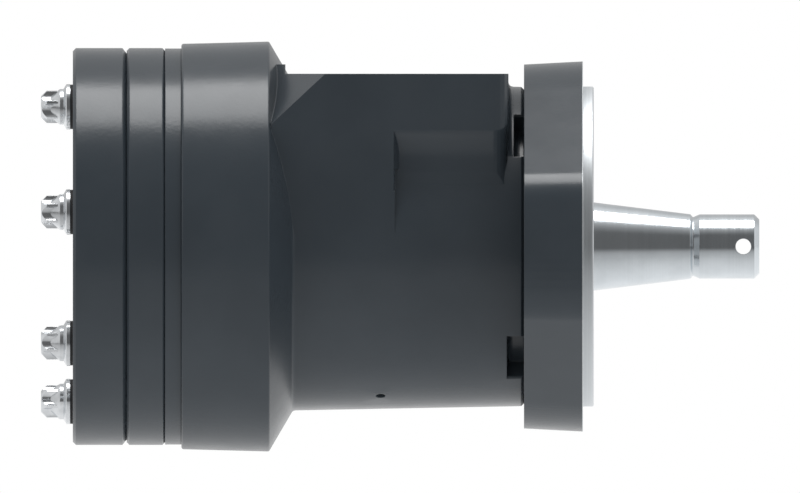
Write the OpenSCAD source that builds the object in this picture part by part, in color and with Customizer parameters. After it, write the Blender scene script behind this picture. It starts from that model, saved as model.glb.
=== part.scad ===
// Orbital hydraulic motor with a two-bolt flange, a tapered shaft and a roller gerotor.
// Millimetres. X runs along the shaft toward its thread, Z points up through the ports,
// and X = 0 is the face of the mounting flange.

/* [Mounting flange] */
// Thickness of the flange from the housing to its mounting face
flange_t = 15.2; // [13:0.1:20]
// Radius of the round middle at the back of the flange
flange_hub_r = 46.96; // [45:0.02:50]
// Distance from the axis to the end of an ear
ear_reach = 65; // [64:0.5:68]
// Radius of the corners of an ear
ear_corner_r = 12; // [8:0.5:12]
// Angle of the straight edges between ear and middle, square to them and above the Y axis
ear_slant = 58.3; // [57:0.1:60]
// Casting draft of the flange sides, in degrees
flange_draft = 3; // [1:0.5:5]
// Diameter of the machined pilot
pilot_d = 82.55; // [78:0.05:86]
// Height of the pilot above the mounting face
pilot_h = 2.8; // [2:0.1:6]
// Edge radius of the pilot
pilot_edge_r = 0.5; // [0.2:0.1:0.8]
// Gap between the flange and the shaft
shaft_room = 0.5; // [0.3:0.1:1]
// Distance between the two mounting bolts
mount_span = 106.4; // [104:0.1:108]
// Diameter of the two mounting holes
mount_hole_d = 13.5; // [11:0.1:14.5]

/* [Flange screws] */
// Radius of the circle of the four screws that hold the flange
screw_circle_r = 29.8; // [29.6:0.1:30.4]
// Thread diameter of the flange screws
screw_d = 8; // [6:0.5:8]
// Diameter of the screw heads
screw_head_d = 13; // [11:0.5:13]
// Height of the screw heads
screw_head_h = 7; // [5:0.5:8]
// Depth of the screw heads below the pilot face
screw_sink = 0.5; // [0.2:0.1:1]
// Gap of a screw in its through hole
screw_gap = 0.2; // [0.1:0.05:0.3]
// Gap round a screw head
screw_head_gap = 0.3; // [0.2:0.1:0.6]
// Width of the socket of a screw, over its corners
screw_socket_d = 6.4; // [5:0.1:7.5]
// Depth of the socket of a screw
screw_socket_depth = 3.5; // [2.5:0.5:4]
// Length of thread that a flange screw has in the housing
screw_grip = 15; // [10:0.5:18]
// Depth of a screw's hole in the housing beyond its thread
screw_run = 1; // [0.5:0.5:3]

/* [Housing] */
// Length of the housing from the flange to the spacer plate
housing_len = 88.4; // [86:0.1:100]
// Diameter of the round body next to the cone
body_d = 84.6; // [84:0.1:88]
// Diameter of the round body at the flange
body_front_d = 82.4; // [80:0.1:84]
// Diameter of the drum at its rear face
drum_d = 104.6; // [102:0.1:108]
// Diameter of the drum at the cone
drum_front_d = 105.8; // [104:0.1:109]
// Length of the drum
drum_len = 22.6; // [18:0.1:26]
// Length of the cone between the drum and the body
cone_len = 6.2; // [4:0.1:9]
// Radius of the hollow at the foot of the cone
cone_fillet = 1.3; // [0.5:0.1:3]
// Edge radius of the casting
cast_edge_r = 0.6; // [0.3:0.1:1]
// Width of the four notches in the front lip
notch_w = 14.6; // [10:0.2:18]
// Length of the two lower notches along the axis
notch_len = 4.4; // [3:0.1:6]
// Length of the two upper notches, which end in front of the port block
top_notch_len = 2.6; // [1.6:0.1:2.8]
// Chamfer along both ends of a notch
notch_chamfer = 0.5; // [0.2:0.1:0.8]
// Distance from the axis to the floor of the notches
notch_floor_r = 34.6; // [34.5:0.1:38]
// Radius at the back of the notch floor
notch_fillet = 1.5; // [0.5:0.1:2]
// Chamfer at the front edge of the lip
lip_chamfer = 0.7; // [0.3:0.1:1.2]
// Diameter of the small bleed hole low on the side
bleed_d = 2.5; // [1.5:0.1:4]
// Distance of the bleed hole behind the mounting face
bleed_back = 52.2; // [46:0.2:56]
// Angle of the bleed hole below the horizontal
bleed_angle = 67; // [50:1:80]
// Depth of the bleed hole
bleed_depth = 12; // [8:0.5:14]
// Depth of the ring grooves in the bore of the housing
bore_groove_depth = 2.4; // [1.5:0.1:3]

/* [Port block] */
// Distance of the flat sides inside the round body that they run into
block_side_step = 0.1; // [0.1:0.05:0.6]
// Height of the machined port face above the axis
port_face_h = 44.57; // [44:0.01:46]
// Height of the cast strip behind the port face
cast_strip_h = 47; // [46.4:0.1:48]
// Length of the machined port face
port_face_len = 57.55; // [54:0.05:58]
// Gap between the front of the block and the front of the housing
block_gap = 4; // [3:0.1:6]
// Radius of the upright corners at the front of the block
block_corner_r = 3.5; // [1:0.5:6]
// Lean of the sloping rear corners away from level, in degrees
slope_tilt = 47; // [44:0.1:52]
// Turn of the sloping rear corners from the axis, in degrees
slope_turn = 149.3; // [145:0.1:153]
// Height where a sloping rear corner leaves the flat side
slope_start_h = 32.1; // [30:0.1:35]
// Distance from the drum to the start of a sloping rear corner
slope_inset = 1.2; // [0.6:0.1:3]
// Radius of the scooped hollow in each side
scoop_r = 10.6; // [9.6:0.1:11.6]
// Distance from the axis to the centre of a scoop, sideways
scoop_side = 48.2; // [47.8:0.1:49.2]
// Height of the centre of a scoop above the axis
scoop_h = 22; // [20:0.1:23]
// Distance of the closed end of a scoop behind the mounting face
scoop_back = 48.7; // [46:0.1:56]
// Slant of the closed end of a scoop, in degrees
scoop_end_slant = 24; // [5:1:40]
// Radius of the edge where a scoop runs out at the front of the block
scoop_flare_r = 3.7; // [1:0.1:4]
// Height from the centre of a scoop down to where it opens to the round body
scoop_drop = 2.1; // [1:0.1:3]
// Radius of the hollow between the front of the block and the round body
block_foot_r = 1.2; // [0.5:0.1:2]

/* [Ports] */
// Distance between the two port centres
port_span = 40; // [36:0.5:42]
// Distance of the ports behind the mounting face
port_back = 48; // [44:0.5:52]
// Thread bore of a port
port_d = 18.6; // [14:0.1:20]
// Depth of a port
port_depth = 15; // [12:0.5:16]
// Diameter of the spot face round a port
spot_d = 30; // [24:0.5:34]
// Depth of the spot face
spot_depth = 0.6; // [0.3:0.1:1.5]
// Diameter of the oil passages
duct_d = 8; // [5:0.5:9]
// Step in radius from a port's oil passage to the one that leads on to its ring groove
duct_step = 0.5; // [0.5:0.1:1]
// Extra width and depth of the elbow under a port
elbow_step = 1; // [0.5:0.1:1.5]
// Diameter of the leak oil passage under the drain plug
leak_d = 4; // [3:0.5:6]
// Diameter of the drain plug
plug_d = 14; // [10:0.5:16]
// Depth of the drain plug
plug_depth = 9; // [6:0.5:10]
// Distance of the drain plug behind the mounting face
plug_back = 36.5; // [34:0.5:38]
// Depth of the drain plug's end face below the port face
plug_sink = 0.4; // [0.2:0.1:1]
// Width of the socket of the drain plug, over its corners
plug_socket_d = 7; // [5:0.5:9]
// Depth of the socket of the drain plug
plug_socket_depth = 4.1; // [3:0.1:5]

/* [Gerotor set] */
// Thickness of the gerotor ring
ring_t = 9.9; // [8:0.1:16]
// Outside diameter of the ring and of the end cover
ring_d = 102.4; // [101:0.1:106]
// Thickness of the spacer plate
plate_t = 4.2; // [4:0.1:8]
// Step between the edge of the ring and that of the spacer plate
plate_step = 0.1; // [0.1:0.05:0.6]
// Thickness of the end cover
cover_t = 13.9; // [10:0.1:18]
// Number of rollers in the ring
roller_count = 7;
// Diameter of a roller
roller_d = 12; // [11:0.1:12.2]
// Radius of the circle of roller centres
roller_circle_r = 31; // [30.6:0.1:31.2]
// Offset of the rotor from the motor axis
offset_e = 2.6; // [2.4:0.05:2.65]
// Gap between the rotor and a seated roller
rotor_gap = 0.04; // [0.03:0.01:0.08]
// Diameter of the bore of the ring between its pockets
ring_bore_d = 61.2; // [61:0.1:61.6]
// Running gap of a roller in its pocket
pocket_gap = 0.03; // [0.02:0.01:0.06]
// Gap at each face of the rotor and the rollers
side_gap = 0.03; // [0.02:0.01:0.06]
// Edge chamfer of the ring, measured along the axis
ring_chamfer = 0.7; // [0.3:0.1:1.2]
// Front edge chamfer of the cover, measured along the axis
cover_chamfer = 1.1; // [0.4:0.1:1.6]
// Front edge chamfer of the cover, measured square to the axis
cover_chamfer_in = 1.4; // [0.6:0.1:1.8]
// Rear edge chamfer of the cover
cover_rear_chamfer = 0.8; // [0.4:0.1:1.4]
// Diameter of the centre hole of the spacer plate
plate_bore_d = 26; // [25:0.5:30]
// Diameter of the oil holes of the spacer plate
plate_port_d = 4.6; // [3.5:0.1:5]
// Diameter of the timing passages in the housing
passage_d = 4; // [3:0.1:4.2]
// Radius of the circle of oil holes
oil_circle_r = 27.4; // [27:0.1:28]

/* [Cover bolts] */
// Radius of the circle of cover bolts
bolt_circle_r = 40; // [40:0.1:41]
// Thread diameter of a cover bolt
bolt_d = 6.35; // [5:0.05:6.4]
// Gap of a bolt in its through hole
bolt_gap = 0.2; // [0.1:0.05:0.3]
// Diameter of the washer face under a bolt head
bolt_flange_d = 11.7; // [10:0.1:13]
// Thickness of the washer face with its cone
bolt_flange_t = 1.9; // [1.6:0.1:3]
// Length of the cone in front of the washer face
bolt_cone_t = 0.6; // [0.3:0.1:1]
// Diameter of the collar between washer face and head
bolt_collar_d = 9.2; // [8.6:0.1:9.6]
// Length of the collar
bolt_collar_t = 0.9; // [0.5:0.1:1.5]
// Diameter of the six-lobe head
bolt_head_d = 8.46; // [7.5:0.02:8.6]
// Length of the six-lobe head
bolt_head_h = 4.9; // [4:0.1:6]
// Chamfer at the end of the head
bolt_chamfer = 1.5; // [0.8:0.1:1.8]
// Diameter of a flute of the head
flute_d = 4.6; // [4:0.1:5.5]
// Depth of a flute of the head
flute_depth = 1.25; // [0.8:0.05:1.3]
// Length of the cone on which the flutes run out
flute_runout = 2.6; // [1.5:0.1:3.5]
// Turn of the flutes about the bolt's axis, in degrees
flute_turn = 18; // [0:1:60]
// Length of thread that a bolt has in the housing
bolt_grip = 12; // [8:0.5:14]
// Gap between the end of a bolt and the bottom of its hole
bolt_end_gap = 0.2; // [0.1:0.1:1]
// Thickness of the sealing washer
washer_t = 0.5; // [0.4:0.1:1.5]
// Diameter of the sealing washer
washer_d = 11.5; // [10:0.1:12.5]

/* [Output shaft] */
// Diameter of the taper at the pilot face
taper_d = 22.8; // [20:0.1:24]
// Diameter of the taper at its small end
taper_end_d = 16.7; // [16.6:0.1:17.4]
// Length of the taper
taper_len = 24.9; // [20:0.1:34]
// Length of the taper that lies inside the pilot
taper_sink = 1.2; // [0.8:0.1:1.5]
// Diameter of the undercut before the thread
undercut_d = 15.3; // [13:0.1:15.6]
// Length of the undercut
undercut_len = 2.4; // [2.3:0.1:4]
// Length of the undercut's slope up to the taper
undercut_taper_run = 0.6; // [0.3:0.1:0.8]
// Length of the undercut's slope up to the thread
undercut_thread_run = 1.5; // [0.5:0.1:1.5]
// Diameter of the shaft thread
thread_d = 16.6; // [15.8:0.1:16.6]
// Length of the shaft thread
thread_len = 15.4; // [12:0.1:20]
// Chamfer at the end of the thread
thread_chamfer = 1.3; // [0.5:0.1:2]
// Diameter of the cotter hole
cotter_d = 4; // [2.5:0.1:4.5]
// Distance of the cotter hole from the end of the shaft
cotter_back = 4.1; // [3.8:0.1:6]
// Width of the Woodruff key
key_w = 5; // [3:0.5:6]
// Diameter of the Woodruff key
key_d = 16; // [12:0.5:17]
// Height of the key above the taper
key_rise = 2; // [1:0.1:2.5]
// Distance of the key centre from the pilot face
key_place = 12; // [10:0.5:14]
// Diameter of the journal under the seals
seal_journal_d = 28; // [26:0.1:30]
// Diameter of the journal in the needle bearing
journal_d = 32; // [31:0.1:33]
// Length of the slopes between the journals and the taper
journal_slope = 0.8; // [0.5:0.1:1.2]
// Distance that the journal runs on in front of the needle bearing
journal_run = 0.5; // [0.3:0.1:0.8]
// Diameter of the valve spool on the shaft
spool_d = 44; // [43:0.1:44.6]
// Running gap of the spool, the journals and the needles
run_gap = 0.03; // [0.02:0.01:0.06]
// Diameter of the hollow in the spool
hollow_d = 24; // [23:0.5:26]
// Gap between the spool and the spacer plate
spool_end_gap = 0.2; // [0.1:0.1:0.5]
// Width of a ring groove of the spool
groove_w = 5; // [4:0.2:6]
// Depth of a ring groove of the spool
groove_depth = 2; // [1:0.1:3]
// Number of timing slots fed from each groove
slot_count = 6;
// Width of a timing slot
slot_w = 4; // [3:0.1:5]
// Distance that a timing slot runs on past the middle of its window
slot_run = 4; // [3:0.5:6]
// Diameter of the holes that feed the slots of the second set from the hollow
feed_d = 3.6; // [3:0.1:4]
// Number of holes from a ring groove to the hollow
cross_count = 3;
// Diameter of the holes from a ring groove to the hollow
cross_d = 4; // [3:0.5:5]
// Distance of the timing windows from the rear face of the housing
window_back = 13.6; // [13:0.1:16]
// Distance from the windows to the nearer ring groove
groove_b_step = 14; // [12:0.1:15]
// Distance between the two ring grooves
groove_step = 10; // [9:0.1:12]

/* [Drive link] */
// Number of spline teeth
spline_count = 12;
// Diameter over the link's spline teeth
spline_d = 20; // [19:0.1:20.4]
// Diameter at the root of the link's spline teeth
spline_root_d = 16.4; // [15.8:0.1:16.8]
// Width of a spline tooth
tooth_w = 2.4; // [2:0.1:2.8]
// Gap at each side of a tooth, which lets the link tilt
tooth_gap = 0.3; // [0.28:0.01:0.4]
// Gap over and under the teeth
tooth_height_gap = 0.35; // [0.33:0.01:0.5]
// Length of a splined head
head_len = 7.2; // [6:0.1:7.4]
// Chamfer at the ends of the splined heads
head_chamfer = 0.8; // [0.4:0.1:1.2]
// Diameter of the link between its heads
link_d = 15; // [12:0.1:15.6]
// Distance of the front pivot of the link behind the mounting face
pivot_back = 57; // [56:0.5:59]
// Length of the spline in the shaft
shaft_spline_len = 12.5; // [12:0.1:14]
// Distance of the middle of that spline behind the link's pivot
shaft_spline_shift = 0.5; // [0:0.1:1]
// Length of the link beyond its rear pivot
link_tail = 2.6; // [2.4:0.1:2.7]
// Thickness of the spacer behind the link
link_spacer_t = 1.6; // [1:0.1:1.6]
// Gap round the spacer behind the link
link_spacer_gap = 0.15; // [0.1:0.05:0.3]

/* [Bearings and seals] */
// Outside diameter of the needle bearing shell
shell_d = 41; // [40:0.1:42]
// Wall of the needle bearing shell
shell_wall = 1.4; // [1:0.1:1.45]
// Length of the needle bearing shell
shell_len = 16.5; // [14:0.1:17]
// Distance of the shell behind the front of the housing
shell_back = 1.8; // [0:0.1:1.9]
// Thickness of the lips at the ends of the shell
shell_lip_t = 1; // [0.6:0.1:1.4]
// Gap between the lips of the shell and the journal
shell_lip_gap = 0.8; // [0.5:0.1:1.2]
// Number of needles in the journal bearing
needle_count = 16;
// Gap between the cage of the needles and the journal
cage_in_gap = 0.5; // [0.3:0.1:0.7]
// Gap between the cage of the needles and the shell
cage_out_gap = 0.4; // [0.3:0.1:0.7]
// Gap between a cage and what lies at its ends
cage_end_gap = 0.2; // [0.1:0.1:0.4]
// Length of the rims at the ends of the cage of the needles
cage_rim = 1; // [0.6:0.1:1.5]
// Gap of a needle in its cage, at its sides
needle_side_gap = 0.02; // [0.02:0.01:0.05]
// Gap of a needle in its cage, at its ends
needle_end_gap = 0.1; // [0.05:0.05:0.2]
// Distance of the thrust bearing behind the front of the housing
thrust_back = 19.8; // [19.5:0.1:21]
// Thickness of a thrust race
race_t = 1; // [0.8:0.1:1.2]
// Gap between the front race and the journal
race_in_gap = 0.8; // [0.5:0.1:1]
// Gap between the front race and the bore
race_out_gap = 0.3; // [0.2:0.1:0.5]
// Gap between the rear race and the bore
rear_race_out_gap = 0.6; // [0.4:0.1:1]
// Gap between the thrust cage and both the journal and the bore
thrust_cage_gap = 0.9; // [0.6:0.1:1.2]
// Width of the inner and the outer rim of the thrust cage
thrust_rim = 0.7; // [0.5:0.1:1]
// Diameter of the needles of the thrust bearing
thrust_needle_d = 2.4; // [2:0.1:2.6]
// Number of needles in the thrust bearing
thrust_needle_count = 20;
// Outside diameter of the shaft seal
seal_d = 42; // [41:0.1:43]
// Width of the shaft seal
seal_w = 7.8; // [6:0.1:8]
// Depth of the seal seat from the back of the flange
seal_seat = 10; // [9.5:0.1:10.5]
// Wall of the case of the shaft seal
seal_wall = 1; // [0.6:0.1:1.4]
// Gap between the case of the shaft seal and the shaft
seal_case_gap = 2.5; // [2:0.1:3.5]
// Thickness of the rubber of both seals where it is clamped
seal_rubber_t = 1.2; // [0.8:0.1:1.6]
// Width of the edge of both seals that runs on the shaft
seal_edge_w = 0.8; // [0.4:0.1:1.2]
// Outside diameter of the dust seal
dust_d = 40; // [36:0.1:41]
// Depth of the dust seal seat below the pilot face
dust_seat = 5; // [4:0.1:5.5]
// Thickness of the O-rings
oring_d = 2; // [1.6:0.1:2.2]
// Share of its thickness to which an O-ring is pressed
oring_press = 0.8; // [0.7:0.01:0.9]
// Radius of the O-rings round the cover bolts
oring_r = 46.6; // [46.4:0.1:47]
// Radius of the O-ring between flange and housing
front_oring_r = 23.8; // [23.6:0.1:24]

/* [Hidden] */

$fn = 64;
paint = [0.17, 0.19, 0.21];
steel = [0.72, 0.73, 0.74];
bright = [0.85, 0.85, 0.86];
rubber = [0.06, 0.06, 0.06];

// How far a cut runs on into the open, how far joined pieces run into each other, the size of a cut
// that takes all beyond a plane, and the step between the two cuts of a scoop
over = 1;
lap = 0.01;
cut_size = 120;
scoop_step = 0.35;

// Stations along the axis
x_front = -flange_t;
x_rear = x_front - housing_len;
x_plate = x_rear - plate_t;
x_ring = x_plate - ring_t;
x_cover = x_ring - cover_t;
x_head = x_cover - washer_t;
x_drum = x_rear + drum_len;
x_cone = x_drum + cone_len;
x_block = x_front - block_gap;
x_step = x_block - port_face_len;
x_needle = x_front - shell_back;
x_thrust = x_front - thrust_back;
thrust_room = thrust_needle_d + 2 * run_gap;
x_spool = x_thrust - 2 * race_t - thrust_room;
x_window = x_rear + window_back;
x_groove_b = x_window + groove_b_step;
x_groove_a = x_groove_b + groove_step;
x_pivot = -pivot_back;
x_rotor = x_plate - ring_t / 2;
x_spline = x_pivot - shaft_spline_len / 2 - shaft_spline_shift;
x_taper_end = pilot_h + taper_len;
x_thread = x_taper_end + undercut_len;
x_end = x_thread + thread_len;

plate_r = ring_d / 2 - plate_step;
body_draft = atan2((body_d - body_front_d) / 2, x_front - x_cone);
bore_r = spool_d / 2 + run_gap;
groove_out_r = bore_r + bore_groove_depth;
shell_in_r = shell_d / 2 - shell_wall;
needle_d = shell_in_r - journal_d / 2 - 2 * run_gap;
needle_circle_r = journal_d / 2 + run_gap + needle_d / 2;
roller_r = roller_d / 2;
link_span = norm([x_pivot - x_rotor, offset_e]);
link_tilt = atan2(offset_e, x_pivot - x_rotor);
link_bore_d = spline_root_d + 2 * tooth_height_gap;
first_bolt = -90;
first_roller = 90;
upper_angles = [45, 135];
lower_angles = [225, 315];
screw_angles = concat(upper_angles, lower_angles);
oring_depth = oring_press * oring_d;
thrust_mid = x_thrust - race_t - thrust_room / 2;
thrust_in_r = journal_d / 2 + thrust_cage_gap;
thrust_out_r = bore_r - thrust_cage_gap;
taper_slope = (taper_d - taper_end_d) / 2 / taper_len;

// Points of an arc about a centre, from one angle to another
function arc(c, r, a0, a1, n) =
    [for (k = [0:n]) let (a = a0 + (a1 - a0) * k / n) [c[0] + r * cos(a), c[1] + r * sin(a)]];

function unit(v) = v / norm(v);

// Points of a corner at p rounded with radius r, between its neighbours a and b
function corner(a, p, b, r, n) =
    let (u = unit(a - p), w = unit(b - p), half = acos(u * w) / 2, reach = r / tan(half),
         c = p + unit(u + w) * r / sin(half), s = p + u * reach - c, e = p + w * reach - c,
         side = sign(s[0] * e[1] - s[1] * e[0]), turn = side * (180 - 2 * half))
    [for (k = [0:n]) let (t = turn * k / n)
        [c[0] + s[0] * cos(t) - s[1] * sin(t), c[1] + s[0] * sin(t) + s[1] * cos(t)]];

// Outline whose points may carry a third value, the radius of that corner
function rounded(v, n = 4) =
    [for (i = [0:len(v) - 1])
        let (p = v[i], a = v[(i + len(v) - 1) % len(v)], b = v[(i + 1) % len(v)])
        each (len(p) > 2
            ? corner([a[0], a[1]], [p[0], p[1]], [b[0], b[1]], p[2], n)
            : [p])];

// Lays an outline drawn in Y and Z at station x, ready to be extruded toward the shaft end
module across(x) translate([x, 0, 0]) rotate([90, 0, 90]) children();

// Turns an outline of radius and station about the motor axis
module turned(v, fn = 96) rotate([0, 90, 0]) rotate_extrude($fn = fn) polygon(v);

// Round bar along the motor axis between two stations
module bar(r, x0, x1) translate([x0, 0, 0]) rotate([0, 90, 0]) cylinder(h = x1 - x0, r = r);

// Ring along the motor axis between two stations
module tube(r_in, r_out, x0, x1) difference() {
    bar(r_out, x0, x1);
    bar(r_in, x0 - over, x1 + over);
}

// Straight round passage from point a to point b
module duct(a, b, r) {
    v = b - a;
    translate(a) rotate([0, acos(v[2] / norm(v)), atan2(v[1], v[0])]) cylinder(h = norm(v), r = r);
}

// Copies a piece n times about the motor axis, the first at an angle up from the Y axis
module round_axis(n, first = 0) for (k = [0:n - 1]) rotate([first + k * 360 / n, 0, 0]) children();

// Places a piece at a radius and an angle about the motor axis
module at_polar(r, a) rotate([a, 0, 0]) translate([0, r, 0]) children();

// Ring groove for an O-ring that opens toward the rear
module oring_groove(r, x) tube(r - oring_d / 2, r + oring_d / 2, x - over, x + oring_depth);

// O-ring pressed into its groove
module oring(r, x) rotate([0, 90, 0]) rotate_extrude($fn = 64) translate([r, x + oring_depth / 2])
    intersection() {
        circle(d = oring_d, $fn = 24);
        square([oring_d, oring_depth], center = true);
    }

// Casting with its drum, cone and body, as a solid of revolution
module cast_body() turned(rounded([
    [0, x_rear],
    [drum_d / 2, x_rear, cast_edge_r],
    [drum_front_d / 2, x_drum, cast_edge_r],
    [body_d / 2, x_cone, cone_fillet],
    [body_front_d / 2, x_front - lip_chamfer],
    [body_front_d / 2 - lip_chamfer, x_front],
    [0, x_front]]));

// Half the width of the port block at station x, which follows the draft of the round body
function block_side(x) = body_front_d / 2 + (x_front - x) * tan(body_draft) - block_side_step;

// Space above one sloping rear corner of the port block
module above_slope(side) {
    x = x_drum + slope_inset;
    translate([x, side * block_side(x), slope_start_h]) rotate([0, slope_tilt, side * slope_turn])
        translate([-cut_size / 2, -cut_size / 2, 0]) cube(cut_size);
}

// Scoop on the side toward -Y, along the drafted side of the block. Its closed end slants, its front
// edge flares out round, and below its middle it is open down to the round body.
module scoop_cut() translate([x_front, -scoop_side, 0]) rotate([0, 0, body_draft]) {
    back = scoop_back - flange_t;
    shelf = scoop_side - block_side(x_front);
    flare_x = -block_gap - scoop_flare_r;
    wide_r = scoop_r + scoop_flare_r;
    intersection() {
        translate([0, 0, scoop_h]) turned(concat(
            [[0, -2 * back], [scoop_r, -2 * back]],
            arc([wide_r, flare_x], scoop_flare_r, 180, 90, 6),
            [[wide_r, over], [0, over]]));
        translate([-back, shelf, 0]) rotate([0, 0, -scoop_end_slant])
            translate([0, -cut_size / 2, 0]) cube(cut_size);
    }
    translate([scoop_step - back, -cut_size, -over])
        cube([back - scoop_step + over, cut_size + scoop_r - scoop_step, scoop_h - scoop_drop + over]);
}

module scoop(side) mirror([0, side > 0 ? 1 : 0, 0]) scoop_cut();

// Hollow fillet where the front of the port block stands on the round body
module block_foot() intersection() {
    r = block_side(x_block) + block_side_step;
    half = block_side(x_block) - block_corner_r;
    turned(concat(
        [[r - over, x_block - over], [r + block_foot_r, x_block - over]],
        arc([r + block_foot_r, x_block + block_foot_r], block_foot_r, 270, 180, 6),
        [[r - over, x_block + block_foot_r]]));
    translate([x_block - 2 * over, -half, 0]) cube([2 * over + 2 * block_foot_r, 2 * half, cast_strip_h]);
}

// Block on top of the body that carries the ports
module port_block() difference() {
    union() {
        linear_extrude(height = cast_strip_h) polygon(rounded([
            [x_drum + cast_edge_r, -block_side(x_drum)],
            [x_block, -block_side(x_block), block_corner_r],
            [x_block, block_side(x_block), block_corner_r],
            [x_drum + cast_edge_r, block_side(x_drum)]]));
        block_foot();
    }
    translate([x_step, -cut_size / 2, port_face_h]) cube([cut_size, cut_size, cut_size]);
    for (side = [-1, 1]) {
        above_slope(side);
        scoop(side);
    }
}

// Port with its spot face and thread bore, and the gallery that leads to a ring groove
module port_hole(side, x_groove) {
    top = [-port_back, side * port_span / 2, port_face_h];
    low = top - [0, 0, port_depth + duct_d / 2];
    turn = [x_groove, low[1], low[2]];
    translate(top - [0, 0, port_depth]) cylinder(h = port_depth + over, d = port_d);
    translate(top - [0, 0, spot_depth]) cylinder(h = spot_depth + over, d = spot_d);
    share = (bore_r - over) / norm([turn[1], turn[2]]);
    translate(low - [0, 0, elbow_step])
        cylinder(h = duct_d / 2 + elbow_step + over, d = duct_d + elbow_step);
    duct(low, turn - [duct_d / 2, 0, 0], duct_d / 2);
    duct(turn, [x_groove, turn[1] * share, turn[2] * share], duct_d / 2 - duct_step);
}

// Notch through the front lip, with a hollow at the back of its floor and a chamfer at both ends
module lip_notch(a, length) rotate([a, 0, 0]) {
    translate([0, 0, -notch_w / 2]) linear_extrude(height = notch_w) polygon(rounded([
        [x_front - length, body_d],
        [x_front - length, notch_floor_r, notch_fillet],
        [x_front + over, notch_floor_r],
        [x_front + over, body_d]]));
    half = notch_w / 2;
    edge_r = sqrt(pow(body_front_d / 2, 2) - half * half) - notch_chamfer;
    run = 2 * over;
    across(x_front - length + lap) linear_extrude(height = length + over) polygon([
        [edge_r - over, over - half], [edge_r, -half], [edge_r + run, -half - run],
        [edge_r + run, half + run], [edge_r, half], [edge_r - over, half - over]]);
}

// Four notches through the front lip at the corners of a square
module lip_notches() {
    for (a = upper_angles) lip_notch(a, top_notch_len);
    for (a = lower_angles) lip_notch(a, notch_len);
}

// Oil passage from a timing window to the rear face of the housing
module timing_passage() {
    translate([0, oil_circle_r, 0]) bar(passage_d / 2, x_rear - over, x_window + passage_d / 2);
    translate([x_window, bore_r - over, 0]) rotate([-90, 0, 0])
        cylinder(h = oil_circle_r - bore_r + over, d = passage_d);
}

module housing() color(paint) difference() {
    union() {
        cast_body();
        port_block();
    }
    bar(bore_r, x_rear - over, x_thrust);
    bar(shell_d / 2, x_thrust - over, x_front + over);
    for (x = [x_groove_a, x_groove_b]) bar(groove_out_r, x - groove_w / 2, x + groove_w / 2);
    round_axis(roller_count, first_bolt) timing_passage();
    round_axis(roller_count, first_bolt) translate([0, bolt_circle_r, 0])
        bar(bolt_d / 2, x_rear - over, x_rear + bolt_grip);
    for (a = screw_angles) at_polar(screw_circle_r, a)
        bar(screw_d / 2, x_front - screw_grip - screw_run, x_front + over);
    oring_groove(oring_r, x_rear);
    port_hole(1, x_groove_a);
    port_hole(-1, x_groove_b);
    translate([-plug_back, 0, port_face_h - plug_depth]) cylinder(h = plug_depth + over, d = plug_d);
    translate([-plug_back, 0, bore_r - over])
        cylinder(h = port_face_h - plug_depth - bore_r + 2 * over, d = leak_d);
    translate([-bleed_back, 0, 0]) rotate([90 + bleed_angle, 0, 0])
        translate([0, 0, body_d / 2 - bleed_depth]) cylinder(h = bleed_depth + over, d = bleed_d);
    lip_notches();
}

// Outline of the flange: a round middle and two ears along Y
module flange_outline() {
    reach = ear_reach - ear_corner_r;
    lean = acos((flange_hub_r - ear_corner_r) / reach);
    spread = ear_slant - lean;
    quarter = concat(
        arc([0, 0], ear_reach, 0, spread, 5),
        arc([reach * cos(spread), reach * sin(spread)], ear_corner_r, spread, ear_slant, 18),
        arc([0, 0], flange_hub_r, ear_slant, 90, 18));
    for (turn = [0, 180], flip = [0, 1])
        rotate(turn) mirror([0, flip, 0]) polygon(concat([[0, 0]], quarter));
}

module mounting_flange() color(paint) difference() {
    union() {
        across(x_front) linear_extrude(height = flange_t,
            scale = 1 + flange_t * tan(flange_draft) / flange_hub_r) flange_outline($fn = 96);
        turned(rounded([
            [0, -over],
            [pilot_d / 2, -over],
            [pilot_d / 2, pilot_h, pilot_edge_r],
            [0, pilot_h]]));
    }
    bar(seal_d / 2, x_front - over, x_front + seal_seat);
    bar(seal_journal_d / 2 + shaft_room, x_front, pilot_h + over);
    bar(dust_d / 2, pilot_h - dust_seat, pilot_h + over);
    for (side = [-1, 1]) translate([0, side * mount_span / 2, 0])
        bar(mount_hole_d / 2, x_front - over, over);
    for (a = screw_angles) at_polar(screw_circle_r, a) {
        bar(screw_d / 2 + screw_gap, x_front - over, over);
        bar(screw_head_d / 2 + screw_head_gap, pilot_h - screw_head_h - screw_sink, pilot_h + over);
    }
    oring_groove(front_oring_r, x_front);
}

// Socket head screw, seated in the flange and threaded into the housing
module flange_screw() {
    x_top = pilot_h - screw_sink;
    x_seat = x_top - screw_head_h;
    difference() {
        union() {
            bar(screw_head_d / 2, x_seat, x_top);
            bar(screw_d / 2, x_front - screw_grip, x_seat + lap);
        }
        translate([x_top - screw_socket_depth, 0, 0]) rotate([0, 90, 0])
            cylinder(h = screw_socket_depth + over, d = screw_socket_d, $fn = 6);
    }
}

module flange_screws() color(steel) for (a = screw_angles) at_polar(screw_circle_r, a) flange_screw();

module end_cover() color(paint) difference() {
    turned([
        [0, x_cover],
        [ring_d / 2 - cover_rear_chamfer, x_cover],
        [ring_d / 2, x_cover + cover_rear_chamfer],
        [ring_d / 2, x_ring - cover_chamfer],
        [ring_d / 2 - cover_chamfer_in, x_ring],
        [0, x_ring]]);
    round_axis(roller_count, first_bolt) translate([0, bolt_circle_r, 0])
        bar(bolt_d / 2 + bolt_gap, x_cover - over, x_ring + over);
}

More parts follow.
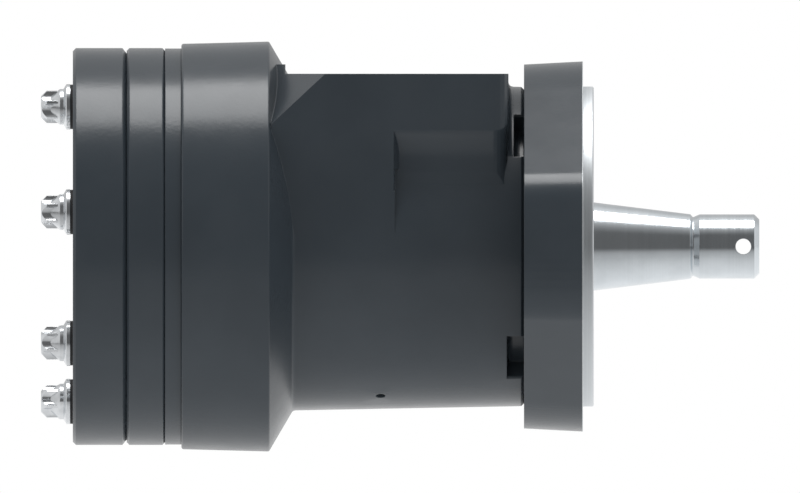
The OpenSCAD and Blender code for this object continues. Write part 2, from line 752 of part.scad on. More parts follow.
// Flanged bolt with a head of six ridges, whose flutes run out on a cone
module cover_bolt() {
    x_collar = x_head - bolt_flange_t;
    x_lobes = x_collar - bolt_collar_t;
    x_top = x_lobes - bolt_head_h;
    x_tip = x_rear + bolt_grip - bolt_end_gap;
    head_r = bolt_head_d / 2;
    collar_r = bolt_collar_d / 2;
    rim_r = bolt_flange_d / 2;
    bevel = 0.2;
    difference() {
        turned([
            [0, x_top], [head_r - bolt_chamfer, x_top], [head_r, x_top + bolt_chamfer],
            [head_r, x_lobes - bevel], [0, x_lobes - bevel]], 48);
        round_axis(6, flute_turn) translate([0, head_r - flute_depth + flute_d / 2, 0])
            bar(flute_d / 2, x_top - over, x_lobes);
    }
    turned([
        [0, x_lobes - flute_runout],
        [head_r - flute_depth - bevel / 2, x_lobes - flute_runout],
        [collar_r, x_lobes],
        [collar_r, x_collar],
        [rim_r - bevel, x_collar + bolt_cone_t],
        [rim_r, x_collar + bolt_cone_t + bevel],
        [rim_r, x_head - bevel],
        [rim_r - bevel, x_head],
        [bolt_d / 2, x_head],
        [bolt_d / 2, x_tip - 3 * bevel],
        [bolt_d / 2 - 3 * bevel, x_tip],
        [0, x_tip]], 48);
}

module cover_bolts() color(steel) round_axis(roller_count, first_bolt)
    translate([0, bolt_circle_r, 0]) cover_bolt();

module cover_washers() color(rubber) round_axis(roller_count, first_bolt)
    translate([0, bolt_circle_r, 0]) tube(bolt_d / 2 + bolt_gap, washer_d / 2, x_head, x_cover);

module gerotor_ring() color(paint) difference() {
    turned([
        [0, x_ring], [ring_d / 2 - ring_chamfer, x_ring], [ring_d / 2, x_ring + ring_chamfer],
        [ring_d / 2, x_plate - ring_chamfer], [ring_d / 2 - ring_chamfer, x_plate], [0, x_plate]]);
    bar(ring_bore_d / 2, x_ring - over, x_plate + over);
    round_axis(roller_count, first_roller) translate([0, roller_circle_r, 0])
        bar(roller_r + pocket_gap, x_ring - over, x_plate + over);
    round_axis(roller_count, first_bolt) translate([0, bolt_circle_r, 0])
        bar(bolt_d / 2 + bolt_gap, x_ring - over, x_plate + over);
    oring_groove(oring_r, x_ring);
}

// Rolls in its pocket; the number counts round from the top roller
module roller(k) color(bright) at_polar(roller_circle_r, first_roller + (k - 1) * 360 / roller_count)
    bar(roller_r, x_ring + side_gap, x_plate - side_gap);

// Path of a roller centre seen from the rotor, and the way that it runs there
function path(a) = roller_circle_r * [cos(a), sin(a)]
    + offset_e * [cos(roller_count * a), sin(roller_count * a)];
function heading(a) = unit(roller_circle_r * [-sin(a), cos(a)]
    + roller_count * offset_e * [-sin(roller_count * a), cos(roller_count * a)]);

// Point of the rotor outline that touches a roller whose centre is on the path
function rotor_point(a) = path(a) + (roller_r + rotor_gap) * [-heading(a)[1], heading(a)[0]];

// Hole with room for the link's spline
module spline_hole() {
    out_r = spline_d / 2 + tooth_height_gap;
    circle(d = link_bore_d);
    for (k = [0:spline_count - 1]) rotate(k * 360 / spline_count)
        translate([0, -tooth_w / 2 - tooth_gap]) square([out_r, tooth_w + 2 * tooth_gap]);
}

module gerotor_rotor() color(steel) across(x_ring + side_gap)
    linear_extrude(height = ring_t - 2 * side_gap) translate([0, offset_e]) difference() {
        lobes = roller_count - 1;
        points = 36 * lobes;
        crowding = 4.8;
        polygon([for (k = [0:points - 1]) let (s = k * 360 / points)
            rotor_point(s + crowding * sin(lobes * s))]);
        spline_hole();
    }

module spacer_plate() color(paint) difference() {
    bar(plate_r, x_plate, x_rear);
    bar(plate_bore_d / 2, x_plate - over, x_rear + over);
    round_axis(roller_count, first_bolt) {
        translate([0, oil_circle_r, 0]) bar(plate_port_d / 2, x_plate - over, x_rear + over);
        translate([0, bolt_circle_r, 0]) bar(bolt_d / 2 + bolt_gap, x_plate - over, x_rear + over);
    }
    oring_groove(oring_r, x_plate);
}

// Turned shape of the shaft from the spool to the threaded end
module shaft_blank() turned([
    [0, x_rear + spool_end_gap],
    [spool_d / 2, x_rear + spool_end_gap],
    [spool_d / 2, x_spool],
    [journal_d / 2, x_spool],
    [journal_d / 2, x_needle + journal_run],
    [seal_journal_d / 2, x_needle + journal_run + journal_slope],
    [seal_journal_d / 2, pilot_h - taper_sink - journal_slope],
    [taper_d / 2 + taper_sink * taper_slope, pilot_h - taper_sink],
    [taper_end_d / 2, x_taper_end],
    [undercut_d / 2, x_taper_end + undercut_taper_run],
    [undercut_d / 2, x_thread - undercut_thread_run],
    [thread_d / 2, x_thread],
    [thread_d / 2, x_end - thread_chamfer],
    [thread_d / 2 - thread_chamfer, x_end],
    [0, x_end]]);

// Ring groove in the spool
module spool_groove(x)
    tube(spool_d / 2 - groove_depth, spool_d / 2 + over, x - groove_w / 2, x + groove_w / 2);

// Slot along the spool between two stations
module timing_slot(x0, x1) translate([x0, spool_d / 2 - groove_depth, -slot_w / 2])
    cube([x1 - x0, groove_depth + over, slot_w]);

// Hole from the hollow of the shaft out through the spool
module cross_hole(x, d) translate([x, 0, 0]) rotate([-90, 0, 0]) cylinder(h = spool_d, d = d);

// Woodruff key as a full disc; the shaft's seat and the key are cut from it
module key_disc(w, d) {
    x = pilot_h + key_place;
    surface_r = taper_d / 2 - taper_slope * key_place;
    translate([x, surface_r + key_rise, -w / 2]) cylinder(h = w, d = d);
}

module output_shaft() color(steel) difference() {
    shaft_blank();
    bar(hollow_d / 2, x_rear - over, x_spline);
    across(x_spline - lap) linear_extrude(height = shaft_spline_len) spline_hole();
    spool_groove(x_groove_a);
    spool_groove(x_groove_b);
    round_axis(slot_count) timing_slot(x_window - slot_run, x_groove_b);
    round_axis(slot_count, 180 / slot_count) {
        timing_slot(x_window - slot_run, x_window + slot_run);
        cross_hole(x_window, feed_d);
    }
    round_axis(cross_count, 90) cross_hole(x_groove_a, cross_d);
    translate([x_end - cotter_back, 0, 0]) rotate([90, 0, 0])
        cylinder(h = 2 * thread_d, d = cotter_d, center = true);
    key_disc(key_w, key_d);
}

module shaft_key() color(steel) intersection() {
    key_disc(key_w, key_d);
    translate([pilot_h, taper_d / 2 + key_rise, 0]) rotate([0, 0, -atan(taper_slope)])
        translate([-over, -key_d, -key_w]) cube([key_place + key_d, key_d, 2 * key_w]);
}

// Splined head of the drive link
module link_head(x) intersection() {
    across(x) linear_extrude(height = head_len) {
        circle(d = spline_root_d);
        for (k = [0:spline_count - 1]) rotate(k * 360 / spline_count)
            translate([0, -tooth_w / 2]) square([spline_d / 2, tooth_w]);
    }
    turned([
        [0, x],
        [spline_d / 2 - head_chamfer, x],
        [spline_d / 2, x + head_chamfer],
        [spline_d / 2, x + head_len - head_chamfer],
        [spline_d / 2 - head_chamfer, x + head_len],
        [0, x + head_len]], 64);
}

module drive_link() color(steel) translate([x_pivot, 0, 0]) rotate([0, link_tilt, 0]) {
    rear = -link_span - link_tail;
    link_head(-head_len / 2);
    link_head(rear);
    bar(link_d / 2, rear + head_len - lap, -head_len / 2 + lap);
}

module link_spacer() color(steel) translate([0, 0, offset_e])
    bar(link_bore_d / 2 - link_spacer_gap, x_ring + side_gap, x_ring + side_gap + link_spacer_t);

// Drawn shell with a lip at each end
module needle_shell() color(steel) difference() {
    bar(shell_d / 2, x_needle - shell_len, x_needle);
    bar(shell_in_r, x_needle - shell_len + shell_lip_t, x_needle - shell_lip_t);
    bar(journal_d / 2 + shell_lip_gap, x_needle - shell_len - over, x_needle + over);
}

// Places a needle of the journal bearing, or its pocket
module on_needle_circle() round_axis(needle_count) translate([0, needle_circle_r, 0]) children();

module needle_cage() color(bright) difference() {
    step = shell_lip_t + cage_end_gap;
    pocket_w = needle_d + 2 * needle_side_gap;
    x0 = x_needle - shell_len + step;
    tube(journal_d / 2 + cage_in_gap, shell_in_r - cage_out_gap, x0, x_needle - step);
    on_needle_circle() translate([x0 + cage_rim, -needle_d, -pocket_w / 2])
        cube([shell_len - 2 * step - 2 * cage_rim, 2 * needle_d, pocket_w]);
}

module needle_rollers() color(bright) on_needle_circle() {
    step = shell_lip_t + cage_end_gap + cage_rim + needle_end_gap;
    bar(needle_d / 2, x_needle - shell_len + step, x_needle - step);
}

module thrust_race_front() color(steel)
    tube(journal_d / 2 + race_in_gap, bore_r - race_out_gap, x_thrust - race_t, x_thrust);

module thrust_race_rear() color(steel)
    tube(journal_d / 2, bore_r - rear_race_out_gap, x_spool, x_spool + race_t);

module thrust_cage() color(bright) difference() {
    half_t = thrust_needle_d / 3;
    pocket_w = thrust_needle_d + 2 * needle_side_gap;
    tube(thrust_in_r, thrust_out_r, thrust_mid - half_t, thrust_mid + half_t);
    round_axis(thrust_needle_count)
        translate([thrust_mid - thrust_needle_d, thrust_in_r + thrust_rim, -pocket_w / 2])
        cube([2 * thrust_needle_d, thrust_out_r - thrust_in_r - 2 * thrust_rim, pocket_w]);
}

module thrust_rollers() color(bright) round_axis(thrust_needle_count) {
    start_r = thrust_in_r + thrust_rim + needle_end_gap;
    end_r = thrust_out_r - thrust_rim - needle_end_gap;
    translate([thrust_mid, start_r, 0]) rotate([-90, 0, 0])
        cylinder(h = end_r - start_r, d = thrust_needle_d);
}

module shaft_seal_case() color(steel) {
    x0 = x_front + seal_seat - seal_w;
    x1 = x_front + seal_seat;
    difference() {
        bar(seal_d / 2, x0, x1);
        bar(seal_d / 2 - seal_wall, x0 - over, x1 - seal_wall);
        bar(seal_journal_d / 2 + seal_case_gap, x0 - over, x1 + over);
    }
}

// Rubber of the shaft seal: clamped at the front in its case, with a lip that leans to the rear
module shaft_seal_lip() color(rubber) {
    x0 = x_front + seal_seat - seal_w;
    x1 = x_front + seal_seat - seal_wall;
    r = seal_journal_d / 2;
    edge_back = 2 * seal_edge_w;
    turned([
        [seal_d / 2 - seal_wall, x1],
        [r + seal_case_gap, x1],
        [r + run_gap, x0 + edge_back + seal_edge_w],
        [r + run_gap, x0 + edge_back],
        [r + edge_back, x0 + seal_edge_w / 2],
        [r + edge_back + 1.5 * seal_rubber_t, x0 + edge_back + seal_edge_w],
        [r + edge_back + 2 * seal_rubber_t, x1 - seal_rubber_t],
        [seal_d / 2 - seal_wall, x1 - seal_rubber_t]]);
}

// Rubber ring in the pilot, with an edge that leans to the front and wipes the shaft
module dust_seal() color(rubber) {
    x0 = pilot_h - dust_seat;
    x1 = pilot_h - seal_rubber_t;
    r = seal_journal_d / 2;
    turned([
        [dust_d / 2, x0],
        [dust_d / 2, x1],
        [r + 2.5 * seal_rubber_t, x1],
        [r + run_gap, x1 - seal_edge_w],
        [r + run_gap, x1 - 2 * seal_edge_w],
        [r + 2 * seal_edge_w, x0 + seal_edge_w],
        [r + 2 * seal_edge_w, x0]]);
}

module oring_front() color(rubber) oring(front_oring_r, x_front);
module oring_housing() color(rubber) oring(oring_r, x_rear);
module oring_plate() color(rubber) oring(oring_r, x_plate);
module oring_cover() color(rubber) oring(oring_r, x_ring);

module drain_plug() color(steel) difference() {
    translate([-plug_back, 0, port_face_h - plug_depth]) cylinder(h = plug_depth - plug_sink, d = plug_d);
    translate([-plug_back, 0, port_face_h - plug_sink - plug_socket_depth])
        cylinder(h = plug_socket_depth + over, d = plug_socket_d, $fn = 6);
}

housing();
mounting_flange();
flange_screws();
end_cover();
cover_bolts();
cover_washers();
gerotor_ring();
gerotor_rotor();
spacer_plate();
output_shaft();
shaft_key();
drive_link();
link_spacer();
needle_shell();
needle_cage();
needle_rollers();
thrust_race_front();
thrust_race_rear();
thrust_cage();
thrust_rollers();
shaft_seal_case();
shaft_seal_lip();
dust_seal();
oring_front();
oring_housing();
oring_plate();
oring_cover();
drain_plug();
for (k = [1:7]) roller(k);
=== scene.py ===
import math
from collections import namedtuple

import bmesh
import bpy
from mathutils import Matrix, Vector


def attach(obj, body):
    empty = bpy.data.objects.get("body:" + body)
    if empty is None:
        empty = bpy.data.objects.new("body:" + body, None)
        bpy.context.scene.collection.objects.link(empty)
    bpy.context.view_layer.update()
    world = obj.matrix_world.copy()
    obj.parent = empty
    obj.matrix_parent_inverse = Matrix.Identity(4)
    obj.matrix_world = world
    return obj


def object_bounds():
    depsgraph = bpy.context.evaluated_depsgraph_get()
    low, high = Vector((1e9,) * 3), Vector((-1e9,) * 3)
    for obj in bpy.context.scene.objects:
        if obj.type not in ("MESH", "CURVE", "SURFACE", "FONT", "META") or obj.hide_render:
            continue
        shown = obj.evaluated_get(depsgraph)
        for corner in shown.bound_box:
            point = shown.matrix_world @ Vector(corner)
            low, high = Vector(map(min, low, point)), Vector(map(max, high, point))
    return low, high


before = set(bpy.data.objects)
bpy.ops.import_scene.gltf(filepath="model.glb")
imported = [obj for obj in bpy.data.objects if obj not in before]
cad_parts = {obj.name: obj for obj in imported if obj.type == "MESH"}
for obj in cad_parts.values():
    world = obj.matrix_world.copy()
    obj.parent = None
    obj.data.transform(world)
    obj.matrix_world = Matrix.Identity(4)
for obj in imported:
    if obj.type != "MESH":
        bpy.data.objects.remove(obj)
cad_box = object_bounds()

# The photograph in its own pixels: its width, the column of the mounting face, and its scale
PHOTO_WIDTH = 800
FACE_COLUMN = 582.9
PIXELS_PER_METRE = 3876.0

# How far away the camera stands, and how far it sees
CAMERA_DISTANCE = 5.0
CAMERA_RANGE = 50.0

# Floor: its reach to each side, its white, how much of what the camera sees of it is glow, so that
# the rest can take the shadow, and how strongly it lights the part
FLOOR_REACH = 30.0
FLOOR_WHITE = 0.88
FLOOR_SEEN_SHARE = 0.7
FLOOR_LIGHT = 1.3

# Floor and room as the part's gloss shows them: a dark level, and ramps (from, to, rise) that add to
# it. The floor's ramps run over Y. The room's run over the cosine of the angle from the middle of
# its dark side, which is on the camera's side and this many degrees above the horizon.
FLOOR_DARK = 0.13
FLOOR_RAMPS = [(-0.50, -0.30, 0.07), (-0.30, -0.08, 0.36), (-0.08, 0.03, 0.44)]
ROOM_DARK = 0.14
ROOM_RAMPS = [(0.92, 0.574, 0.45), (0.574, -0.17, 0.24), (-0.17, -0.5, -0.24)]
DARK_SIDE_HEIGHT = 20.0

# Softbox above the part: its height, its two sides, and its radiance, where 1 is plain white
SOFTBOX_HEIGHT = 1.2
SOFTBOX_SIDES = (0.6, 0.7)
SOFTBOX_RADIANCE = 6.0

# Places on the part, in metres: the mounting face, the height of the port face, the distance between
# the ports, how far they lie behind the mounting face, and the radius of their spot faces
FACE = 0.0
PORT_FACE = 0.04457
PORT_SPAN = 0.040
PORT_BACK = 0.048
SPOT_RADIUS = 0.015

# Width of the line where paint gives way to bare metal, and the heights between which the inside of
# the ports does
PAINT_LINE = 0.0001
BARE_FROM = 0.020
BARE_FULL = 0.021

# Thread ridge in a port, a half-inch pipe thread: radius of the bore, distance between turns, how far
# the crest stands proud of the bore, how far the foot lies behind it, and the height of the top
PORT_RADIUS = 0.0093
THREAD_PITCH = 0.001814
THREAD_RISE = 0.00035
THREAD_FOOT = 0.0001
THREAD_TOP = 0.0430

# Number of turns, steps in a turn, how many full heights an end would gain in a turn, section of the
# ridge as (place along the axis in pitches, share of the height), and the angle in degrees above
# which an edge stays sharp
THREAD_TURNS = 6.5
THREAD_STEPS = 64
THREAD_FADE = 3
THREAD_PROFILE = [(-0.42, 0.0), (-0.07, 1.0), (0.07, 1.0), (0.42, 0.0)]
THREAD_CREASE = 20

# A surface has its darkest and its lightest colour, then its lowest and its highest roughness
Surface = namedtuple("Surface", "dark light smooth rough")
PAINT = Surface((0.0240, 0.0310, 0.0380, 1), (0.0280, 0.0355, 0.0430, 1), 0.22, 0.26)
FACE_STEEL = Surface((0.67, 0.70, 0.72, 1), (0.79, 0.82, 0.84, 1), 0.38, 0.48)
# Port seats and bores and their threads: a darker copy of the bare steel above, painted shade that
# keeps these upward faces from turning white under the softbox
SEAT_STEEL_PAINTED_SHADE = Surface((0.36, 0.375, 0.385, 1), (0.44, 0.455, 0.465, 1), 0.54, 0.62)
THREAD_STEEL_PAINTED_SHADE = Surface(SEAT_STEEL_PAINTED_SHADE.dark, SEAT_STEEL_PAINTED_SHADE.light, 0.46, 0.56)
SHAFT_STEEL = Surface((0.62, 0.66, 0.69, 1), (0.74, 0.785, 0.82, 1), 0.12, 0.20)
BEARING_STEEL = Surface((0.55, 0.56, 0.57, 1), (0.78, 0.79, 0.80, 1), 0.18, 0.30)
BOLT_ZINC = Surface((0.66, 0.68, 0.70, 1), (0.78, 0.80, 0.82, 1), 0.16, 0.24)
# Drain plug: darker than the bolts' zinc, in the seats' colours; painted shade that keeps it from
# turning white under the softbox
PLUG_ZINC_PAINTED_SHADE = Surface(SEAT_STEEL_PAINTED_SHADE.dark, SEAT_STEEL_PAINTED_SHADE.light, 0.50, 0.60)
SCREW_OXIDE = Surface((0.12, 0.12, 0.13, 1), (0.16, 0.16, 0.17, 1), 0.32, 0.42)
RUBBER = Surface((0.012, 0.012, 0.013, 1), (0.028, 0.028, 0.030, 1), 0.55, 0.75)
PAINT_SPECULAR = 0.44

# Distance between the rings that a tool leaves, in metres
FINE_RINGS = 0.00025
COARSE_RINGS = 0.0013
SHAFT_RINGS = 0.0003
BEARING_RINGS = 0.0004

# Noise: cells to the metre, or to one ring for the rings, and levels of finer detail
PAINT_CLOUDS = (45.0, 4.0)
PAINT_SHEEN = (160.0, 3.0)
CAST_GRAIN = (900.0, 4.0)
PAINT_PEEL = (3200.0, 2.0)
STEEL_STAINS = (120.0, 3.0)
PLATING_MOTTLE = (350.0, 3.0)
PLATING_SHEEN = (900.0, 3.0)
PLATING_PITS = (1800.0, 2.0)
RUBBER_MOTTLE = (900.0, 3.0)
RUBBER_GRAIN = (4000.0, 2.0)
RING_NOISE = (1.0, 2.0)

# Height of the paint's peel beside the cast grain, and what coarse rings and stains take of a mix
PEEL_HEIGHT = 0.35
COARSE_SHARE = 0.5
STAIN_SHARE = 0.5

# Middle of a noise's range, which is drawn out to the whole: for mild and for strong contrast
MILD = (0.3, 0.7)
STRONG = (0.35, 0.65)

# Bump of a finish: its strength, and its depth in metres
PAINT_BUMP = (0.10, 0.0002)
STEEL_BUMP = (0.05, 0.00002)
PLATING_BUMP = (0.01, 0.00003)
RUBBER_BUMP = (0.15, 0.0001)

# Radius to which a finish rounds the light on its edges, in metres, and the samples for it
PAINT_EDGE = 0.0004
STEEL_EDGE = 0.0002
PLATING_EDGE = 0.0001
EDGE_SAMPLES = 6

# Nodes that share a finish. Those with neither a shared one nor one of their own are bearing steel.
PAINTED_NODES = ("end_cover", "gerotor_ring", "spacer_plate")
RUBBER_NODES = ("cover_washers", "dust_seal", "shaft_seal_lip",
                "oring_front", "oring_housing", "oring_plate", "oring_cover")

# Sockets of a Mix node by their places, as they share their names: the two inputs and the output
MIX_NUMBERS = (2, 3, 0)
MIX_COLOURS = (6, 7, 2)


def add_object(name, data):
    """New object in the scene for a mesh, a lamp or a camera."""
    thing = bpy.data.objects.new(name, data)
    bpy.context.scene.collection.objects.link(thing)
    return thing


def make_camera():
    """Parallel view along +Y, square to the shaft, as the photograph shows no perspective."""
    middle = (PHOTO_WIDTH / 2 - FACE_COLUMN) / PIXELS_PER_METRE
    data = bpy.data.cameras.new("camera")
    data.type = "ORTHO"
    data.ortho_scale = PHOTO_WIDTH / PIXELS_PER_METRE
    data.clip_end = CAMERA_RANGE
    camera = add_object("camera", data)
    camera.location = (middle, -CAMERA_DISTANCE, 0.0)
    camera.rotation_euler = (math.radians(90), 0, 0)
    bpy.context.scene.camera = camera


class Nodes:
    """A node tree in the making, with its texture coordinates."""

    def __init__(self, tree):
        self.nodes = tree.nodes
        self.links = tree.links
        self.places = self.add("ShaderNodeTexCoord").outputs

    def add(self, kind, **settings):
        """New node of a kind, with its settings."""
        node = self.nodes.new(kind)
        for key, value in settings.items():
            setattr(node, key, value)
        return node

    def feed(self, node, name, value):
        """Links an output to an input of a node, or sets the input to a plain value."""
        socket = node.inputs[name]
        if isinstance(value, bpy.types.NodeSocket):
            self.links.new(value, socket)
        else:
            socket.default_value = value

    def axes(self):
        """X, Y and Z of a place on the object, in the part's frame."""
        node = self.add("ShaderNodeSeparateXYZ")
        self.feed(node, 0, self.places["Object"])
        return node.outputs

    def math(self, operation, a, b=0.0):
        """Result of an operation on one or two numbers."""
        node = self.add("ShaderNodeMath", operation=operation)
        self.feed(node, 0, a)
        self.feed(node, 1, b)
        return node.outputs[0]

    def reach(self, a, b):
        """Length of the vector (a, b)."""
        squares = [self.math("MULTIPLY", side, side) for side in (a, b)]
        return self.math("SQRT", self.math("ADD", *squares))

    def spread(self, value, low, high, out_low=0.0, out_high=1.0):
        """Value drawn out from one range to another, and held inside it."""
        node = self.add("ShaderNodeMapRange")
        names = ("Value", "From Min", "From Max", "To Min", "To Max")
        for name, setting in zip(names, (value, low, high, out_low, out_high)):
            self.feed(node, name, setting)
        return node.outputs[0]

    def ramps(self, value, ramps):
        """Sum of straight ramps, each of them (from, to, rise)."""
        total = 0.0
        for low, high, rise in ramps:
            total = self.math("ADD", total, self.spread(value, low, high, 0.0, rise))
        return total

    def mixed(self, kind, places, factor, a, b):
        """Output of a Mix node whose sockets have these places."""
        node = self.add("ShaderNodeMix", data_type=kind)
        first, second, output = places
        self.feed(node, 0, factor)
        self.feed(node, first, a)
        self.feed(node, second, b)
        return node.outputs[output]

    def mix(self, factor, a, b):
        """Number from a to b."""
        return self.mixed("FLOAT", MIX_NUMBERS, factor, a, b)

    def blend(self, factor, a, b):
        """Colour from a to b."""
        return self.mixed("RGBA", MIX_COLOURS, factor, a, b)

    def noise(self, pattern, vector=None):
        """Noise from 0 to 1, over the place on the object or over another vector."""
        node = self.add("ShaderNodeTexNoise")
        scale, detail = pattern
        self.feed(node, "Vector", vector or self.places["Object"])
        self.feed(node, "Scale", scale)
        self.feed(node, "Detail", detail)
        return node.outputs["Fac"]

    def bump(self, height, shape, normal=None):
        """Normal of a surface with bumps of this shape, (strength, depth)."""
        node = self.add("ShaderNodeBump")
        strength, depth = shape
        self.feed(node, "Strength", strength)
        self.feed(node, "Distance", depth)
        self.feed(node, "Height", height)
        if normal:
            self.feed(node, "Normal", normal)
        return node.outputs["Normal"]

    def bevel(self, radius):
        """Normal that rounds the light on sharp edges."""
        node = self.add("ShaderNodeBevel", samples=EDGE_SAMPLES)
        self.feed(node, "Radius", radius)
        return node.outputs["Normal"]


class Finish(Nodes):
    """Node material round the Principled shader."""

    def __init__(self, name):
        self.material = bpy.data.materials.new(name)
        self.material.use_nodes = True
        super().__init__(self.material.node_tree)
        self.shader = self.nodes["Principled BSDF"]

    def set(self, **values):
        """Values or links for the shader, with underscores for spaces."""
        for name, value in values.items():
            self.feed(self.shader, name.replace("_", " "), value)


def motor_axis(f):
    """Place along the motor axis, and distance from it."""
    x, y, z = f.axes()
    return x, f.reach(y, z)


def port_axis(f):
    """Place along the axis of the nearer port, and distance from it."""
    x, y, z = f.axes()
    across = f.math("SUBTRACT", f.math("ABSOLUTE", y), PORT_SPAN / 2)
    return z, f.reach(across, f.math("ADD", x, PORT_BACK))


def turning(f, pitch, axis):
    """Fine rings that a tool leaves round an axis, on round and flat faces alike."""
    path = f.add("ShaderNodeCombineXYZ")
    for k, distance in enumerate(axis(f)):
        f.feed(path, k, f.math("MULTIPLY", distance, 1.0 / pitch))
    return f.noise(RING_NOISE, path.outputs[0])


def front_face(f):
    """Mask of the mounting face, the pilot and all in front of them."""
    x = f.axes()[0]
    return f.spread(x, FACE - 2 * PAINT_LINE, FACE - PAINT_LINE)


def port_seats(f):
    """Mask of the spot faces and bores of the ports."""
    z, distance = port_axis(f)
    half = PAINT_LINE / 2
    inside = f.spread(distance, SPOT_RADIUS - half, SPOT_RADIUS + half, 1.0, 0.0)
    sunk = f.spread(z, PORT_FACE - 2 * PAINT_LINE, PORT_FACE - PAINT_LINE, 1.0, 0.0)
    above = f.spread(z, BARE_FROM, BARE_FULL)
    return f.math("MULTIPLY", above, f.math("MULTIPLY", inside, sunk))


def dark_paint(name, machined=None, axis=motor_axis, bare=FACE_STEEL):
    """Satin paint with a fine peel over the cast grain. machined(f) may give a mask of bare steel,
    turned round an axis, in the colours of bare; the housing passes a darker copy of the steel there,
    painted shade on its port seats."""
    f = Finish(name)
    clouds = f.spread(f.noise(PAINT_CLOUDS), *STRONG)
    colour = f.blend(clouds, PAINT.dark, PAINT.light)
    rough = f.spread(f.noise(PAINT_SHEEN), *MILD, PAINT.smooth, PAINT.rough)
    grain = f.noise(CAST_GRAIN)
    peel = f.noise(PAINT_PEEL)
    height = f.math("ADD", grain, f.math("MULTIPLY", peel, PEEL_HEIGHT))
    mask = 0.0
    if machined:
        mask = machined(f)
        rings = f.mix(COARSE_SHARE, turning(f, FINE_RINGS, axis), turning(f, COARSE_RINGS, axis))
        steel = f.blend(f.spread(rings, *MILD), bare.dark, bare.light)
        colour = f.blend(mask, colour, steel)
        rough = f.mix(mask, rough, f.spread(rings, *MILD, bare.smooth, bare.rough))
        height = f.mix(mask, height, rings)
    f.set(Base_Color=colour,
          Roughness=rough,
          Metallic=mask,
          Specular_IOR_Level=PAINT_SPECULAR,
          Normal=f.bump(height, PAINT_BUMP, f.bevel(PAINT_EDGE)))
    return f.material


def turned_steel(name, surface, pitch, axis=motor_axis):
    """Steel with the rings of a lathe or a grinder, and faint stains."""
    f = Finish(name)
    rings = turning(f, pitch, axis)
    stains = f.spread(f.noise(STEEL_STAINS), *STRONG)
    f.set(Base_Color=f.blend(f.mix(STAIN_SHARE, rings, stains), surface.dark, surface.light),
          Roughness=f.spread(rings, *MILD, surface.smooth, surface.rough),
          Metallic=1.0,
          Normal=f.bump(rings, STEEL_BUMP, f.bevel(STEEL_EDGE)))
    return f.material


def plated_steel(name, surface):
    """Mottled plating or oxide with tiny pits."""
    f = Finish(name)
    mottle = f.spread(f.noise(PLATING_MOTTLE), *STRONG)
    f.set(Base_Color=f.blend(mottle, surface.dark, surface.light),
          Roughness=f.spread(f.noise(PLATING_SHEEN), *MILD, surface.smooth, surface.rough),
          Metallic=1.0,
          Normal=f.bump(f.noise(PLATING_PITS), PLATING_BUMP, f.bevel(PLATING_EDGE)))
    return f.material


def black_rubber(name):
    """Matt rubber with a fine grain."""
    f = Finish(name)
    mottle = f.noise(RUBBER_MOTTLE)
    f.set(Base_Color=f.blend(mottle, RUBBER.dark, RUBBER.light),
          Roughness=f.spread(mottle, *MILD, RUBBER.smooth, RUBBER.rough),
          Normal=f.bump(f.noise(RUBBER_GRAIN), RUBBER_BUMP))
    return f.material


def finish_nodes():
    """Gives each CAD node its finish."""
    finishes = dict.fromkeys(PAINTED_NODES, dark_paint("casting_paint"))
    finishes.update({
        # The housing's port seats and bores take a darker copy of the bare steel: painted shade.
        "housing": dark_paint("housing_paint_and_shaded_seats", port_seats, port_axis, SEAT_STEEL_PAINTED_SHADE),
        "mounting_flange": dark_paint("flange_paint", front_face),
        "output_shaft": turned_steel("shaft_steel", SHAFT_STEEL, SHAFT_RINGS),
        "cover_bolts": plated_steel("bolt_plating", BOLT_ZINC),
        # The drain plug takes a darker zinc than the bolts: painted shade.
        "drain_plug": plated_steel("plug_plating_painted_shade", PLUG_ZINC_PAINTED_SHADE),
        "flange_screws": plated_steel("screw_black", SCREW_OXIDE),
    })
    finishes.update(dict.fromkeys(RUBBER_NODES, black_rubber("seal_rubber")))
    bearing = turned_steel("bearing_steel", BEARING_STEEL, BEARING_RINGS)
    for name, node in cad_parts.items():
        node.data.materials.clear()
        node.data.materials.append(finishes.get(name, bearing))


def thread_points(rings, x, y):
    """Points of the ridge round the axis at (x, y), one section after another on the way down."""
    points = []
    for k in range(rings + 1):
        turn = k / THREAD_STEPS
        angle = -2 * math.pi * turn
        fade = min(1.0, THREAD_FADE * turn, THREAD_FADE * (THREAD_TURNS - turn))
        for along, up in THREAD_PROFILE:
            radius = PORT_RADIUS + THREAD_FOOT - (THREAD_RISE + THREAD_FOOT) * up * fade
            height = THREAD_TOP - (turn - along) * THREAD_PITCH
            points.append((x + radius * math.cos(angle), y + radius * math.sin(angle), height))
    return points


def thread_faces(rings):
    """Faces between the sections of the ridge, and one at each end."""
    width = len(THREAD_PROFILE)
    faces = []
    for k in range(rings):
        for j in range(width):
            a = k * width + j
            b = k * width + (j + 1) % width
            faces.append((a, b, b + width, a + width))
    faces.append(tuple(range(width)))
    faces.append(tuple(range(rings * width, (rings + 1) * width)))
    return faces


def port_thread(name, side, finish):
    """Right-hand ridge that winds down the bore of one port and fades out at both ends."""
    rings = round(THREAD_TURNS * THREAD_STEPS)
    points = thread_points(rings, -PORT_BACK, side * PORT_SPAN / 2)
    mesh = bpy.data.meshes.new(name)
    mesh.from_pydata(points, [], thread_faces(rings))
    shape = bmesh.new()
    shape.from_mesh(mesh)
    bmesh.ops.recalc_face_normals(shape, faces=shape.faces)
    shape.to_mesh(mesh)
    shape.free()
    mesh.shade_smooth()
    mesh.set_sharp_from_angle(angle=math.radians(THREAD_CREASE))
    mesh.materials.append(finish)
    thread = add_object(name, mesh)
    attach(thread, "root")


def make_port_threads():
    """Threads of the ports, where the CAD has plain bores of the tap drill's size."""
    # Threads in the seats' darker steel: painted shade, as on the seats.
    steel = turned_steel("port_steel_painted_shade", THREAD_STEEL_PAINTED_SHADE, FINE_RINGS, port_axis)
    port_thread("port_thread_a", 1, steel)
    port_thread("port_thread_b", -1, steel)


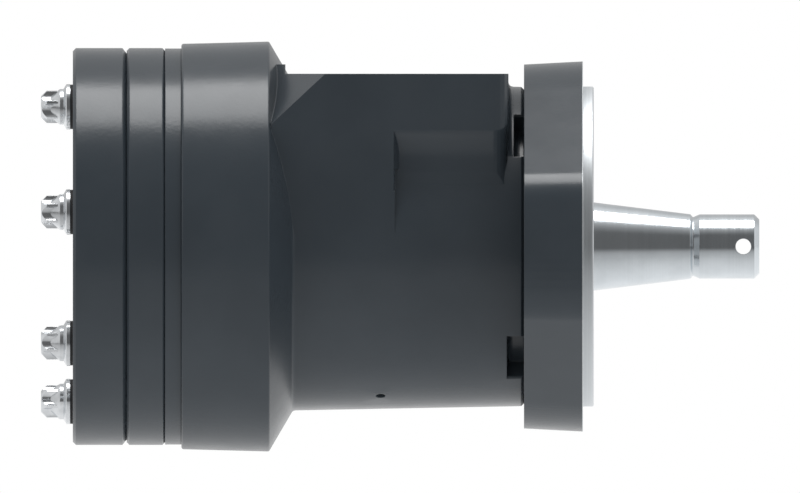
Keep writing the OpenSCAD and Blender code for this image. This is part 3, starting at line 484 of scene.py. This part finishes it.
def make_floor():
    """Pale floor under the part. It shows white, with the shadow kept, and what the part mirrors
    of it grows darker toward the camera, as in front of a studio's dark side."""
    low = cad_box[0][2]
    sides = ((-1, -1), (1, -1), (1, 1), (-1, 1))
    corners = [(x * FLOOR_REACH, y * FLOOR_REACH, low) for x, y in sides]
    mesh = bpy.data.meshes.new("floor")
    mesh.from_pydata(corners, [], [(0, 1, 2, 3)])
    floor = add_object("floor", mesh)
    material = bpy.data.materials.new("floor")
    mesh.materials.append(material)
    material.use_nodes = True
    material.node_tree.nodes.clear()
    # Off, because lamp sampling would light the part with the glow that the camera sees
    material.cycles.emission_sampling = "NONE"
    f = Nodes(material.node_tree)
    mirrored = f.math("ADD", FLOOR_DARK, f.ramps(f.axes()[1], FLOOR_RAMPS))
    seen = f.add("ShaderNodeLightPath").outputs
    bright = f.mix(seen["Is Diffuse Ray"], 1.0, FLOOR_LIGHT)
    glow = f.add("ShaderNodeEmission")
    f.feed(glow, "Strength", f.mix(seen["Is Glossy Ray"], bright, mirrored))
    diffuse = f.add("ShaderNodeBsdfDiffuse")
    f.feed(diffuse, "Color", (FLOOR_WHITE, FLOOR_WHITE, FLOOR_WHITE, 1))
    shares = {"Is Camera Ray": FLOOR_SEEN_SHARE, "Is Diffuse Ray": 1.0, "Is Glossy Ray": 1.0}
    share = 0.0
    for ray, part in shares.items():
        share = f.math("MAXIMUM", share, f.math("MULTIPLY", seen[ray], part))
    mixed = f.add("ShaderNodeMixShader")
    f.feed(mixed, 0, share)
    f.feed(mixed, 1, diffuse.outputs[0])
    f.feed(mixed, 2, glow.outputs[0])
    f.feed(f.add("ShaderNodeOutputMaterial"), "Surface", mixed.outputs[0])


def make_world():
    """White room with a dark side in front, which shows only in what the part mirrors."""
    world = bpy.data.worlds.new("room")
    bpy.context.scene.world = world
    world.use_nodes = True
    world.node_tree.nodes.clear()
    # Off, because lamp sampling would light the part's gloss with the white that the camera sees
    world.cycles.sampling_method = "NONE"
    f = Nodes(world.node_tree)
    tilt = math.radians(DARK_SIDE_HEIGHT)
    toward_dark = f.add("ShaderNodeVectorMath", operation="DOT_PRODUCT")
    f.feed(toward_dark, 0, f.places["Generated"])
    f.feed(toward_dark, 1, (0.0, -math.cos(tilt), math.sin(tilt)))
    mirrored = f.math("ADD", ROOM_DARK, f.ramps(toward_dark.outputs["Value"], ROOM_RAMPS))
    seen = f.add("ShaderNodeLightPath").outputs
    back = f.add("ShaderNodeBackground")
    f.feed(back, "Color", (1, 1, 1, 1))
    f.feed(back, "Strength", f.mix(seen["Is Glossy Ray"], 1.0, mirrored))
    f.feed(f.add("ShaderNodeOutputWorld"), "Surface", back.outputs[0])


def make_softbox():
    """Area light above the part, aimed at its middle."""
    middle = (cad_box[0] + cad_box[1]) / 2
    width, length = SOFTBOX_SIDES
    data = bpy.data.lights.new("overhead", "AREA")
    data.shape = "RECTANGLE"
    data.size = width
    data.size_y = length
    data.energy = SOFTBOX_RADIANCE * math.pi * width * length
    lamp = add_object("overhead", data)
    lamp.location = (middle.x, 0.0, SOFTBOX_HEIGHT)
    away = lamp.location - middle
    lamp.rotation_euler = away.to_track_quat("Z", "Y").to_euler()


make_camera()
make_world()
make_floor()
make_softbox()
finish_nodes()
make_port_threads()

scene = bpy.context.scene
scene.view_settings.view_transform = "Standard"
